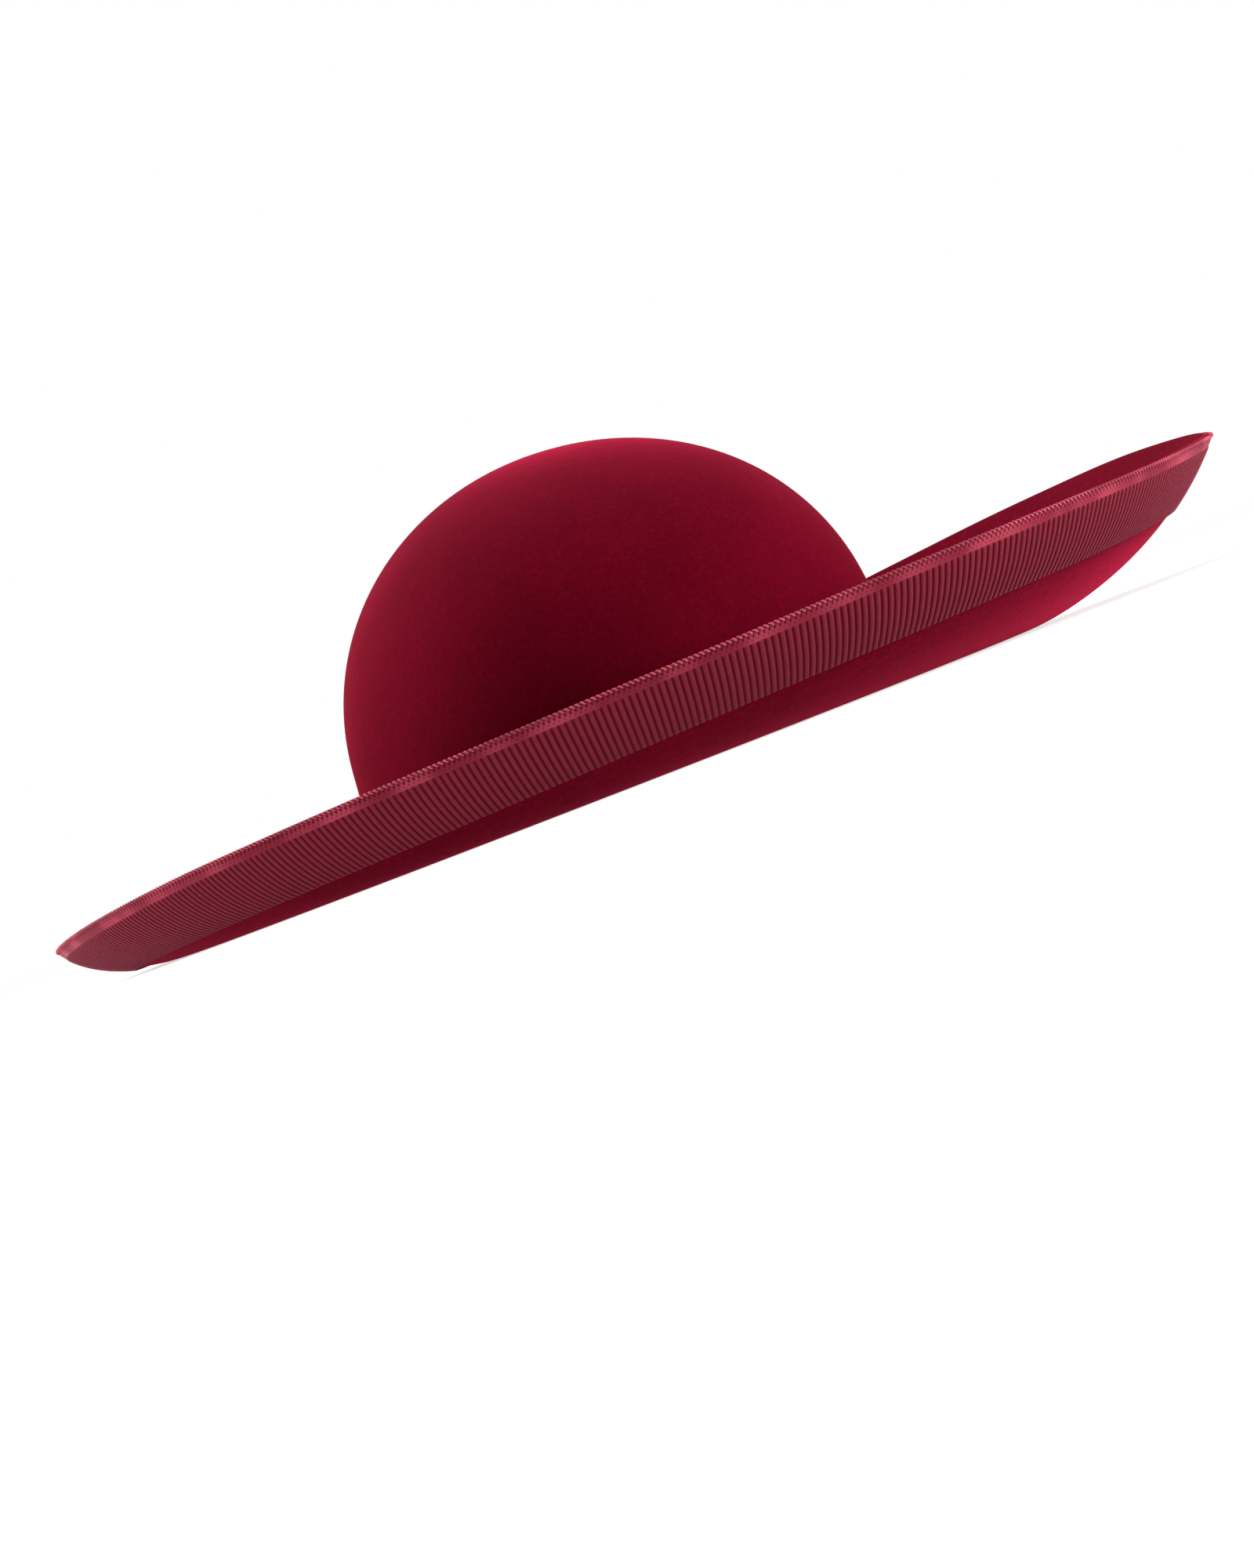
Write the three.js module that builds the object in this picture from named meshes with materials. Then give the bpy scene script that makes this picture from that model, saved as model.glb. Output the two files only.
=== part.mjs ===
// A wide-brimmed wool felt hat. It has a round crown, a brim that is turned up all the way
// round into a shallow lopsided bowl, a ribbed ribbon along the brim's outer edge, and a
// headband inside the opening.
// Millimetres, +Z up. The front is towards -Y and the wearer's left is towards +X.
// The hat stands on the lowest ring of its brim, where the felt is pressed flat.

import * as THREE from "three";

const DEG = Math.PI / 180;
// Below these, a bearing counts as a row's own, and two points as one
const SAME_BEARING = 1e-9;
const SAME_POINT = 1e-6;

// Head opening, measured inside the headband
const OPENING_WIDTH = 162;
const OPENING_LENGTH = 182.6;
// Height of the opening's centre over the surface that the hat stands on
const OPENING_HEIGHT = 12.5;
// The opening's centre, from the centre of the brim's outline
const OPENING_SHIFT_X = -4;
const OPENING_SHIFT_Y = 0;

// The crown leans to the wearer's left and to the front, against the resting surface
const CROWN_LEAN = 5.8;
const CROWN_NOD = 3.4;
// Outer height of the crown above the opening, and how full its dome is (2 is an ellipse)
const CROWN_HEIGHT = 96;
const CROWN_FULLNESS = 2.05;

// Thickness of each layer
const CROWN_FELT = 2;
const BRIM_FELT = 2;
const HEADBAND_THICKNESS = 1.4;
const RIBBON_THICKNESS = 1;
// Clearance between two layers that lie on each other, and under the crown's foot
const LAYER_GAP = 0.3;
const FOOT_GAP = 0.6;

// The headband's height, and how far it hangs below the opening's plane
const HEADBAND_HEIGHT = 26;
const HEADBAND_DROP = 1.5;

// The brim's collar stands up inside the crown, above a round bend
const COLLAR_TOP = 14;
const COLLAR_FOOT = 5.5;
const COLLAR_BEND_RADIUS = 4.5;

// The brim: reach of its edge, height of its edge, and width of the ring that it stands on
const BRIM_RADIUS = 200;
const BRIM_RISE = 40;
const STANDING_RING_WIDTH = 6;
// How far the rounded edge of the felt bulges past the end of its faces
const FELT_EDGE_BULGE = 0.6;
// Where the felt inside the ring turns level, as a share of the way there from the collar
const KNEE_SHARE = 0.5;
// Share of the way from the ring to the edge over which the wall keeps each end's direction
const WALL_PULL_SHARE = 1 / 3;

// The ribbon on the brim's outer face, and how far it stands above the felt's edge
const RIBBON_WIDTH = 24;
const RIBBON_OVERHANG = 0.6;

// The brim in eight directions, evenly spaced. bearing is in degrees from +X towards +Y.
// edgeReach and foldReach are shares of BRIM_RADIUS, to the edge and to the middle of the
// standing ring. edgeRise is a share of BRIM_RISE. edgeSlope is the felt's slope at its
// edge, in degrees.
const BRIM_SECTIONS = [
  { side: "wearer's left", bearing: 0, edgeReach: 1.0, edgeRise: 0.91, foldReach: 0.6, edgeSlope: 47 },
  { side: "back left", bearing: 45, edgeReach: 0.945, edgeRise: 0.99, foldReach: 0.71, edgeSlope: 42 },
  { side: "back", bearing: 90, edgeReach: 0.965, edgeRise: 0.68, foldReach: 0.84, edgeSlope: 45 },
  { side: "back right", bearing: 135, edgeReach: 0.99, edgeRise: 0.45, foldReach: 0.835, edgeSlope: 45 },
  { side: "wearer's right", bearing: 180, edgeReach: 0.97, edgeRise: 0.35, foldReach: 0.775, edgeSlope: 52 },
  { side: "front right", bearing: 225, edgeReach: 0.985, edgeRise: 0.52, foldReach: 0.785, edgeSlope: 60 },
  { side: "front", bearing: 270, edgeReach: 0.97, edgeRise: 0.665, foldReach: 0.73, edgeSlope: 62 },
  { side: "front left", bearing: 315, edgeReach: 1.015, edgeRise: 0.78, foldReach: 0.62, edgeSlope: 60 },
];

// Facets: round the hat, up the crown's dome, and across parts of the brim
const STEPS_AROUND = 64;
const STEPS_UP_DOME = 9;
const STEPS_ROUND_BEND = 3;
const STEPS_TO_FOLD = 3;
const STEPS_FOLD_TO_RIBBON = 3;
const STEPS_ACROSS_RIBBON = 4;

// Half sizes of each layer's face at the opening, from the inside outwards
const HEADBAND_INSIDE = [OPENING_WIDTH / 2, OPENING_LENGTH / 2];
const grown = (halves, by) => halves.map((half) => half + by);
const HEADBAND_OUTSIDE = grown(HEADBAND_INSIDE, HEADBAND_THICKNESS);
const COLLAR_INSIDE = grown(HEADBAND_OUTSIDE, LAYER_GAP);
const CROWN_INSIDE = grown(COLLAR_INSIDE, BRIM_FELT + LAYER_GAP);
const CROWN_OUTSIDE = grown(CROWN_INSIDE, CROWN_FELT);

const bearings = Array.from({ length: STEPS_AROUND }, (_, k) => (k * 2 * Math.PI) / STEPS_AROUND);

// The value of one column of BRIM_SECTIONS at any bearing: a smooth closed curve of sines
// and cosines that passes through each row.
function around(column, bearing) {
  const rows = BRIM_SECTIONS.length;
  return BRIM_SECTIONS.reduce((sum, row) => {
    const turn = bearing - row.bearing * DEG;
    const onRow = Math.abs(Math.sin(turn / 2)) < SAME_BEARING;
    const weight = onRow ? 1 : Math.sin((rows * turn) / 2) / (rows * Math.tan(turn / 2));
    return sum + weight * row[column];
  }, 0);
}

function polar(reach, bearing, height) {
  return new THREE.Vector3(reach * Math.cos(bearing), reach * Math.sin(bearing), height);
}

function onEllipse([halfWidth, halfLength], bearing, height) {
  return new THREE.Vector3(halfWidth * Math.cos(bearing), halfLength * Math.sin(bearing), height);
}

// A closed skin through one section for each bearing, with each facet split along its shorter
// diagonal. A looped section closes on itself. Any other section starts and ends on the axis.
function loft(sections, looped) {
  const points = sections[0].length;
  const spans = looped ? points : points - 1;
  const index = [];
  const at = (j, i) => sections[j][i];
  const addTriangle = (...corners) => {
    const [a, b, c] = corners.map(([j, i]) => at(j, i));
    const shortest = Math.min(a.distanceTo(b), b.distanceTo(c), c.distanceTo(a));
    if (shortest >= SAME_POINT) index.push(...corners.map(([j, i]) => j * points + i));
  };
  for (let j = 0; j < sections.length; j++) {
    const next = (j + 1) % sections.length;
    for (let i = 0; i < spans; i++) {
      const after = (i + 1) % points;
      const rising = at(j, i).distanceTo(at(next, after));
      const falling = at(j, after).distanceTo(at(next, i));
      if (rising < falling) {
        addTriangle([j, i], [next, i], [next, after]);
        addTriangle([j, i], [next, after], [j, after]);
      } else {
        addTriangle([j, i], [next, i], [j, after]);
        addTriangle([next, i], [next, after], [j, after]);
      }
    }
  }
  const geometry = new THREE.BufferGeometry();
  const numbers = sections.flat().flatMap((point) => point.toArray());
  geometry.setAttribute("position", new THREE.Float32BufferAttribute(numbers, 3));
  geometry.setIndex(index);
  geometry.computeVertexNormals();
  return geometry;
}

// The other face of a sheet whose first face is a section's line of points: each point
// moves square to the line, towards the inside and top of the bowl.
function otherFace(line, bearing, thickness) {
  const sideways = polar(1, bearing + Math.PI / 2, 0);
  return line.map((point, i) => {
    const before = line[Math.max(i - 1, 0)];
    const after = line[Math.min(i + 1, line.length - 1)];
    const square = after.clone().sub(before).cross(sideways).normalize();
    return point.clone().addScaledVector(square, thickness);
  });
}

// The crown and the headband stand in a frame of their own, tilted over the opening
const crownFrame = new THREE.Group();
crownFrame.position.set(OPENING_SHIFT_X, OPENING_SHIFT_Y, OPENING_HEIGHT);
crownFrame.rotation.set(CROWN_NOD * DEG, CROWN_LEAN * DEG, 0, "XYZ");
crownFrame.updateMatrix();
const crownDown = new THREE.Vector3(0, 0, -1).transformDirection(crownFrame.matrix);

function collarPoint(bearing, height) {
  return onEllipse(COLLAR_INSIDE, bearing, height).applyMatrix4(crownFrame.matrix);
}

// Height of the brim's upper face over the opening's plane, at a distance outwards from the
// collar's inner face
function brimTopAt(distance) {
  const radius = COLLAR_BEND_RADIUS - BRIM_FELT;
  const left = Math.max(COLLAR_BEND_RADIUS - distance, 0);
  return COLLAR_FOOT - Math.sqrt(Math.max(radius * radius - left * left, 0));
}

// The turned-up part of the brim at one bearing, from the standing ring to the edge
function wallCurve(bearing) {
  const edgeReach = BRIM_RADIUS * around("edgeReach", bearing);
  const edgeHeight = BRIM_RISE * around("edgeRise", bearing);
  const ringReach = BRIM_RADIUS * around("foldReach", bearing) + STANDING_RING_WIDTH / 2;
  const slope = around("edgeSlope", bearing) * DEG;
  const pull = Math.hypot(edgeReach - ringReach, edgeHeight) * WALL_PULL_SHARE;
  return new THREE.CubicBezierCurve3(
    polar(ringReach, bearing, 0),
    polar(ringReach + pull, bearing, 0),
    polar(edgeReach - pull * Math.cos(slope), bearing, edgeHeight - pull * Math.sin(slope)),
    polar(edgeReach, bearing, edgeHeight),
  );
}

// Distances from the brim's edge at which its facets meet the ribbon's
const ribbonStations = Array.from(
  { length: STEPS_ACROSS_RIBBON + 1 },
  (_, k) => (RIBBON_WIDTH * k) / STEPS_ACROSS_RIBBON,
);

// The brim's lower face at one bearing, from the collar's top to the edge
function brimUnderside(bearing) {
  const line = [collarPoint(bearing, COLLAR_TOP), collarPoint(bearing, COLLAR_FOOT)];

  // a bend from straight down the collar to the slope that leads to the standing ring
  const foot = line[1];
  const foldReach = BRIM_RADIUS * around("foldReach", bearing);
  const ringInside = polar(foldReach - STANDING_RING_WIDTH / 2, bearing, 0);
  const run = ringInside.clone().sub(foot).setZ(0);
  const drop = foot.z - COLLAR_BEND_RADIUS;
  const slope = run.clone().multiplyScalar(KNEE_SHARE).setZ(-drop).normalize();
  const turn = crownDown.angleTo(slope);
  const outward = slope.clone().addScaledVector(crownDown, -slope.dot(crownDown)).normalize();
  for (let k = 1; k <= STEPS_ROUND_BEND; k++) {
    const part = (turn * k) / STEPS_ROUND_BEND;
    const point = foot.clone().addScaledVector(crownDown, COLLAR_BEND_RADIUS * Math.sin(part));
    line.push(point.addScaledVector(outward, COLLAR_BEND_RADIUS * (1 - Math.cos(part))));
  }

  // the slope runs out level on the standing ring
  const bendEnd = line.at(-1);
  const knee = bendEnd.clone().addScaledVector(slope, bendEnd.z / -slope.z);
  const slopeCurve = new THREE.QuadraticBezierCurve3(bendEnd, knee, ringInside);
  for (let k = 1; k <= STEPS_TO_FOLD; k++) line.push(slopeCurve.getPointAt(k / STEPS_TO_FOLD));

  const wall = wallCurve(bearing);
  const length = wall.getLength();
  const belowRibbon = length - RIBBON_WIDTH;
  for (let k = 0; k < STEPS_FOLD_TO_RIBBON; k++) {
    line.push(wall.getPointAt((belowRibbon * k) / STEPS_FOLD_TO_RIBBON / length));
  }
  for (const distance of ribbonStations.toReversed()) line.push(wall.getPointAt(1 - distance / length));
  return line;
}

function brimSection(bearing) {
  const under = brimUnderside(bearing);
  const over = otherFace(under, bearing, BRIM_FELT);
  const edge = under.at(-1).clone().add(over.at(-1)).multiplyScalar(0.5);
  edge.addScaledVector(wallCurve(bearing).getTangentAt(1), FELT_EDGE_BULGE);
  return [...under, edge, ...over.toReversed()];
}

function ribbonSection(bearing) {
  const wall = wallCurve(bearing);
  const length = wall.getLength();
  const sideways = polar(1, bearing + Math.PI / 2, 0);
  const faceLine = (offset) =>
    ribbonStations.map((distance, k) => {
      const share = 1 - distance / length;
      const along = wall.getTangentAt(share);
      const outwards = sideways.clone().cross(along);
      const point = wall.getPointAt(share).addScaledVector(outwards, offset);
      return k === 0 ? point.addScaledVector(along, RIBBON_OVERHANG) : point;
    });
  return [...faceLine(LAYER_GAP + RIBBON_THICKNESS).toReversed(), ...faceLine(LAYER_GAP)];
}

// One face of the crown, from its top down to the straight wall round the collar and the foot
function crownLine(bearing, halves, top, foot) {
  const line = [];
  for (let k = STEPS_UP_DOME; k >= 0; k--) {
    const angle = ((k / STEPS_UP_DOME) * Math.PI) / 2;
    const narrowing = k === STEPS_UP_DOME ? 0 : Math.cos(angle) ** (2 / CROWN_FULLNESS);
    const height = COLLAR_TOP + (top - COLLAR_TOP) * Math.sin(angle) ** (2 / CROWN_FULLNESS);
    const ring = halves.map((half) => half * narrowing);
    line.push(onEllipse(ring, bearing, height));
  }
  line.push(onEllipse(halves, bearing, foot));
  return line;
}

function crownSection(bearing) {
  const innerFoot = brimTopAt(BRIM_FELT + LAYER_GAP) + FOOT_GAP;
  const outerFoot = brimTopAt(BRIM_FELT + LAYER_GAP + CROWN_FELT) + FOOT_GAP;
  const outside = crownLine(bearing, CROWN_OUTSIDE, CROWN_HEIGHT, outerFoot);
  const inside = crownLine(bearing, CROWN_INSIDE, CROWN_HEIGHT - CROWN_FELT, innerFoot);
  return [...inside, ...outside.toReversed()];
}

function headbandSection(bearing) {
  const bottom = -HEADBAND_DROP;
  const top = HEADBAND_HEIGHT - HEADBAND_DROP;
  return [
    onEllipse(HEADBAND_INSIDE, bearing, top),
    onEllipse(HEADBAND_INSIDE, bearing, bottom),
    onEllipse(HEADBAND_OUTSIDE, bearing, bottom),
    onEllipse(HEADBAND_OUTSIDE, bearing, top),
  ];
}

function piece(name, section, looped, material) {
  const mesh = new THREE.Mesh(loft(bearings.map(section), looped), material);
  mesh.name = name;
  return mesh;
}

const felt = new THREE.MeshStandardMaterial({ color: 0x7d1230, roughness: 0.95, metalness: 0 });
const ribbon = new THREE.MeshStandardMaterial({ color: 0x7c2f40, roughness: 0.7, metalness: 0 });
const bandFelt = new THREE.MeshStandardMaterial({ color: 0x5a0c22, roughness: 0.9, metalness: 0 });

crownFrame.add(piece("crown", crownSection, false, felt));
crownFrame.add(piece("headband", headbandSection, true, bandFelt));

const hat = new THREE.Group();
hat.add(crownFrame);
hat.add(piece("brim", brimSection, true, felt));
hat.add(piece("edge_ribbon", ribbonSection, true, ribbon));

// The origin is the middle of the hat's outline, on the surface that it stands on
const outline = new THREE.Box3().setFromObject(hat, true);
const middle = outline.getCenter(new THREE.Vector3());
hat.position.set(-middle.x, -middle.y, -outline.min.z);

const felt_hat = new THREE.Group();
felt_hat.add(hat);

export default felt_hat;
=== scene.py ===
import math

import bpy
import numpy as np
from mathutils import Matrix, Vector


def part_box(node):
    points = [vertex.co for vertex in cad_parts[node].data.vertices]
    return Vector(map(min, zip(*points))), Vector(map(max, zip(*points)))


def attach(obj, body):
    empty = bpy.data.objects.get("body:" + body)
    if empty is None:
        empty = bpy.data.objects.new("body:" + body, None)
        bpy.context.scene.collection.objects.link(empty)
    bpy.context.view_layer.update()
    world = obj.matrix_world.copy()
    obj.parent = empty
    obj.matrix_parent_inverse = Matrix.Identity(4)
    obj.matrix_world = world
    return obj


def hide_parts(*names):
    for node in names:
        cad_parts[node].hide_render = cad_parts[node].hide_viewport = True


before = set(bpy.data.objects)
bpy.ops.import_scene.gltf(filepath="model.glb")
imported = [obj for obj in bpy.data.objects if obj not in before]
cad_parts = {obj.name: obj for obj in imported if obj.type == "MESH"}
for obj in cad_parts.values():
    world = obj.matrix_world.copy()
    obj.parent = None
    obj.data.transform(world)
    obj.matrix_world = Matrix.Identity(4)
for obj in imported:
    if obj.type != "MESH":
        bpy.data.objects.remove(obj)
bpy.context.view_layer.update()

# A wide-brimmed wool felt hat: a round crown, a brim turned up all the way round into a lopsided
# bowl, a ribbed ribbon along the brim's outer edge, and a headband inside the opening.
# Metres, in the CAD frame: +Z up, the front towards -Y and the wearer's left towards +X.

# Camera: the photograph's bearing, distance, roll and lens, just above the floor
CAMERA_DISTANCE = 1.8
CAMERA_ELEVATION_DEG = 0.4
CAMERA_BEARING_DEG = 6.57
CAMERA_ROLL_DEG = 21.1
CAMERA_LENS_MM = 130.6
SENSOR_MM = 36.0
CAMERA_NEAR = 0.05
CAMERA_FAR = 200
IMAGE_WIDTH_PX = 1600
IMAGE_HEIGHT_PX = 2000
# Where the hat's origin lies in the picture
ORIGIN_X_PX = 848.5
ORIGIN_Y_PX = 983.2

# Head opening, measured inside the headband, and where its centre is
OPENING_WIDTH = 0.162
OPENING_LENGTH = 0.1826
OPENING_HEIGHT = 0.0125
OPENING_SHIFT_X = -0.004
OPENING_SHIFT_Y = 0.0

# The crown leans to the wearer's left and to the front
CROWN_LEAN_DEG = 5.8
CROWN_NOD_DEG = 3.4
CROWN_HEIGHT = 0.096
CROWN_FULLNESS = 2.05

# Layers of felt and what lies between them
CROWN_FELT = 0.002
BRIM_FELT = 0.002
HEADBAND_THICKNESS = 0.0014
LAYER_GAP = 0.0003
FOOT_GAP = 0.0002

HEADBAND_HEIGHT = 0.026
HEADBAND_DROP = 0.0015
COLLAR_TOP = 0.014
COLLAR_FOOT = 0.0055
COLLAR_BEND_RADIUS = 0.0045

BRIM_RADIUS = 0.2
BRIM_RISE = 0.04
STANDING_RING_WIDTH = 0.006
FELT_EDGE_BULGE = 0.0006

# The brim in eight directions, evenly spaced. bearing is in degrees from +X towards +Y.
# edge_reach and fold_reach are shares of BRIM_RADIUS, edge_rise is a share of BRIM_RISE, and
# edge_slope is the felt's slope at its edge, in degrees.
BRIM_COLUMNS = ("bearing", "edge_reach", "edge_rise", "fold_reach", "edge_slope")
BRIM_SECTIONS = [
    dict(zip(BRIM_COLUMNS, row))
    for row in (
        (0, 1.0, 0.91, 0.6, 47),
        (45, 0.945, 0.99, 0.71, 42),
        (90, 0.965, 0.68, 0.84, 45),
        (135, 0.99, 0.45, 0.835, 45),
        (180, 0.97, 0.35, 0.775, 52),
        (225, 0.985, 0.52, 0.785, 60),
        (270, 0.97, 0.665, 0.73, 62),
        (315, 1.015, 0.78, 0.62, 60),
    )
]

# Slow unevenness of felt shaped by hand: waves round the hat, phase, twist up the felt, share
FELT_WAVES = ((3, 0.6, 1.0, 0.45), (5, 2.4, -1.5, 0.3), (9, 1.1, 2.5, 0.16), (16, 4.0, -4.0, 0.09))
BRIM_UNEVENNESS = 0.0008
CROWN_UNEVENNESS = 0.0007
# The brim's level part is even at both ends and has half of this unevenness midway, as
# (share * (1 - share)) ** 2 is 1/16 there
LEVEL_UNEVENNESS_SHARE = 8

# The ribbon: its width, how far it stands over the felt's edge, and its ribs
RIBBON_WIDTH = 0.024
RIBBON_OVERHANG = 0.0006
RIB_COUNT = 561
RIB_TOP = 0.00105
RIB_DEPTH = 0.00042
RIBBON_BACK = 0.0001
SELVEDGE_TOP = 0.0008
SELVEDGE_WIDTH = 0.0022
# How far the ribs' ends stand out from the ribbon's lower edge, and the grooves' ends fall short
RIB_END_SCALLOP = 0.00016
# One rib across: share of the pitch, and share of RIB_DEPTH below the rib's top
RIB_PROFILE = ((0.0, 1.0), (0.13, 0.62), (0.25, 0.12), (0.5, 0.0), (0.75, 0.12), (0.87, 0.62))
# Where the ribbon's section has points. The selvedge's are measured from the upper edge. The ribs
# rise out of it over RIB_RISE, after a rounding, and run out at the lower edge in the same way.
SELVEDGE_ROWS = (0.0, 0.0004, 0.0009, 0.0014, 0.0019)
RIB_ROUNDING = 0.00035
RIB_RISE = 0.0009
RIB_ROWS = 9
RIB_ROWS_FROM = SELVEDGE_WIDTH + 0.0025
RIB_ROWS_TO = RIBBON_WIDTH - 0.0022
# The back has only these points of the front's, from the lower edge up
BACK_ROWS = [-1, -5, 8, 0]
# How thin the ribbon gets: shares of SELVEDGE_TOP at its two edges, and how much of a rib's rise
# is left at the lower one
UPPER_EDGE_SHARE = 0.7
LOWER_EDGE_SHARE = 0.45
RIB_END_SHARE = 0.4
# Where the grooves' painted shade begins below the selvedge, and where it fades at the lower edge
GROOVE_FROM = SELVEDGE_WIDTH - 0.0001
GROOVE_FULL = SELVEDGE_WIDTH + 0.0004
GROOVE_FADES_FROM = RIBBON_WIDTH - 0.0004
GROOVE_AT_LOWER_EDGE = 0.35
# The threads wound over the ribs. Their wear has WEAR_PER_RIB cells across a rib, and a metre down
# the ribbon counts as WEAR_DOWN ribs in it.
THREAD_SPACING = 0.00042
WEAR_PER_RIB = 1.3
WEAR_DOWN = 900
# The selvedge's paler stretches, in cells to a rib
RUBBED_PER_RIB = 0.09
# Rows of stitch holes in the selvedge: distance from its edge, depth of their painted shade, phase
HOLE_ROWS = ((0.00035, 0.9, 0.0), (0.00125, 0.5, 2.2))
# Half the height of a hole's core of full painted shade, and of the whole hole
HOLE_CORE = 0.00015
HOLE_REACH = 0.0004

# The row of small thread loops along the ribbon's upper edge. Its centre lies past that edge by
# BEAD_LIFT, and over the felt by a share of SELVEDGE_TOP.
BEADS_PER_RIB = 4 / 3
BEAD_RADIUS = 0.00064
BEAD_SWELL = 0.4
BEAD_LIFT = 0.0004
BEAD_HEIGHT_SHARE = 0.55

# Fineness of the meshes
STEPS_AROUND = 360
STEPS_UP_DOME = 56
STEPS_UP_WALL = 44
STEPS_ROUND_EDGE = 6
POINTS_ON_CROWN_FOOT = 5
POINTS_ON_COLLAR = 6
POINTS_ON_BEND = 11
POINTS_ON_LEVEL = 27
POINTS_ON_HEADBAND = 14
STEPS_PER_BEAD = 6
CORD_SIDES = 8
# Fineness of the lines that only measure the brim's wall and its edge
MEASURED_WALL_STEPS = 60
MEASURED_EDGE_BEARINGS = 2881
MEASURED_EDGE_STEPS = 4
# Half angles whose sine is below this lie on a row of BRIM_SECTIONS
ON_ROW = 1e-9

# Light from the white surroundings in front of the hat and behind it. The share of Y in a
# direction is LIGHT_BLEND where the light reaches either value.
FRONT_LIGHT = 0.36
BACK_LIGHT = 0.95
LIGHT_BLEND = 0.8
# Lamps: name, place, size, watts
LAMPS = (
    ("right_light", (2.1, -0.2, 0.35), 1.0, 66),
    ("left_light", (-1.7, 0.1, 1.1), 1.4, 55),
    ("top_light", (-0.3, 1.1, 2.1), 1.6, 30),
)

# The floor glows a little, so that it looks as white as the photograph's background
FLOOR_SIZE = 120
FLOOR_GLOW = 0.66
FLOOR_PATCHES_PER_METRE = 3.0

# Grains of the felt, in cells of noise to a metre. Each kind of fibre also has its width as a
# share of a cell, and fibres lie more along the hat than up it.
CLOUDS_PER_METRE = 24
CLUMPS_PER_METRE = 260
GRAINS_PER_METRE = 620
COARSE_FIBRES = (240, 0.02)
FINE_FIBRES = (420, 0.024)
FIBRE_LIE = (1, 1, 1.7)
# The same for the thread of the beads: its fibres, and the stretches along the edge where the beads'
# painted highlight is stronger or weaker
THREAD_FIBRES_PER_METRE = 2600
THREAD_HIGHLIGHT_PATCHES_PER_METRE = 30

# Depth of the relief that is too fine for the meshes
FELT_RELIEF = 0.00025
RIBBON_RELIEF = 0.00012
THREAD_RELIEF = 0.0001

# Finishes, in sRGB from 0 to 255
FELT_DEEP = (78, 0, 15)
FELT_MAIN = (93, 1, 22)
FELT_NAP = (134, 16, 48)
# How strongly the wool's tufts, hollows and fibres show
CROWN_NAP_SHOWS = 0.6
BRIM_NAP_SHOWS = 1.0
# The ribs' tops: the ribbon's own colour with a painted sheen haze in it
RIB_FACE_AND_SHEEN = (110, 33, 49)
# Painted shade: in the grooves between the ribs, between the threads, in the stitch holes and where the
# beads meet
RIBBON_SHADE = (82, 0, 13)
SELVEDGE_FACE = (114, 27, 45)
# The beads' pale thread: their own paler colour with a painted sheen in it
BEAD_THREAD_AND_SHEEN = (208, 86, 106)
# The headband: the hat's felt colour darkened with painted shade, as it lies in the shade inside the hat
HEADBAND_SHADED_DEEP = (56, 1, 12)
HEADBAND_SHADED_MAIN = (76, 3, 22)
FELT_SHEEN = (255, 38, 90)
RIBBON_SHEEN = (255, 140, 158)
FLOOR_DARK = (186, 186, 186)
FLOOR_LIGHT = (190, 190, 190)


# Camera


def make_camera():
    data = bpy.data.cameras.new("camera")
    data.sensor_width = SENSOR_MM
    data.lens = CAMERA_LENS_MM
    data.clip_start = CAMERA_NEAR
    data.clip_end = CAMERA_FAR
    camera = bpy.data.objects.new("camera", data)
    bpy.context.scene.collection.objects.link(camera)
    bpy.context.scene.camera = camera

    bearing = math.radians(CAMERA_BEARING_DEG)
    rise = math.radians(CAMERA_ELEVATION_DEG)
    towards = Vector((math.sin(bearing), -math.cos(bearing), 0)) * math.cos(rise)
    towards.z = math.sin(rise)
    place = towards * CAMERA_DISTANCE
    level = Vector((0, 0, 1)).cross(towards).normalized()
    upright = towards.cross(level)
    roll = math.radians(CAMERA_ROLL_DEG)
    up = upright * math.cos(roll) + level * math.sin(roll)
    right = level * math.cos(roll) - upright * math.sin(roll)

    # the aim moves from the hat's origin, so that the origin lies at its place in the picture
    metres_per_px = CAMERA_DISTANCE * SENSOR_MM / CAMERA_LENS_MM / IMAGE_HEIGHT_PX
    aim = right * (IMAGE_WIDTH_PX / 2 - ORIGIN_X_PX) * metres_per_px
    aim += up * (ORIGIN_Y_PX - IMAGE_HEIGHT_PX / 2) * metres_per_px
    back = (place - aim).normalized()
    right = (right - back * right.dot(back)).normalized()
    up = back.cross(right)
    camera.matrix_world = Matrix.Translation(place) @ Matrix((right, up, back)).transposed().to_4x4()


# Numbers and lines. A section is a line of points at each bearing: bearings x points x 3.


def polar(reach, bearing, height):
    reach, bearing, height = np.broadcast_arrays(reach, bearing, height)
    return np.stack([reach * np.cos(bearing), reach * np.sin(bearing), height], -1)


def on_ellipse(halves, bearing, height):
    bearing, height = np.broadcast_arrays(bearing, height)
    return np.stack([halves[0] * np.cos(bearing), halves[1] * np.sin(bearing), height], -1)


def unit(vectors):
    return vectors / np.linalg.norm(vectors, axis=-1, keepdims=True)


def around(column, bearing):
    """One column of BRIM_SECTIONS at any bearing: a smooth closed curve through the rows."""
    rows = len(BRIM_SECTIONS)
    total = np.zeros_like(bearing)
    for row in BRIM_SECTIONS:
        turn = bearing - math.radians(row["bearing"])
        half = turn / 2
        on_row = np.abs(np.sin(half)) < ON_ROW
        slope = np.tan(np.where(on_row, 1.0, half))
        total += np.where(on_row, 1.0, np.sin(rows * half) / (rows * slope)) * row[column]
    return total


def unevenness(bearing, share):
    return sum(
        size * np.sin(waves * bearing + phase + twist * share)
        for waves, phase, twist, size in FELT_WAVES
    )


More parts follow.
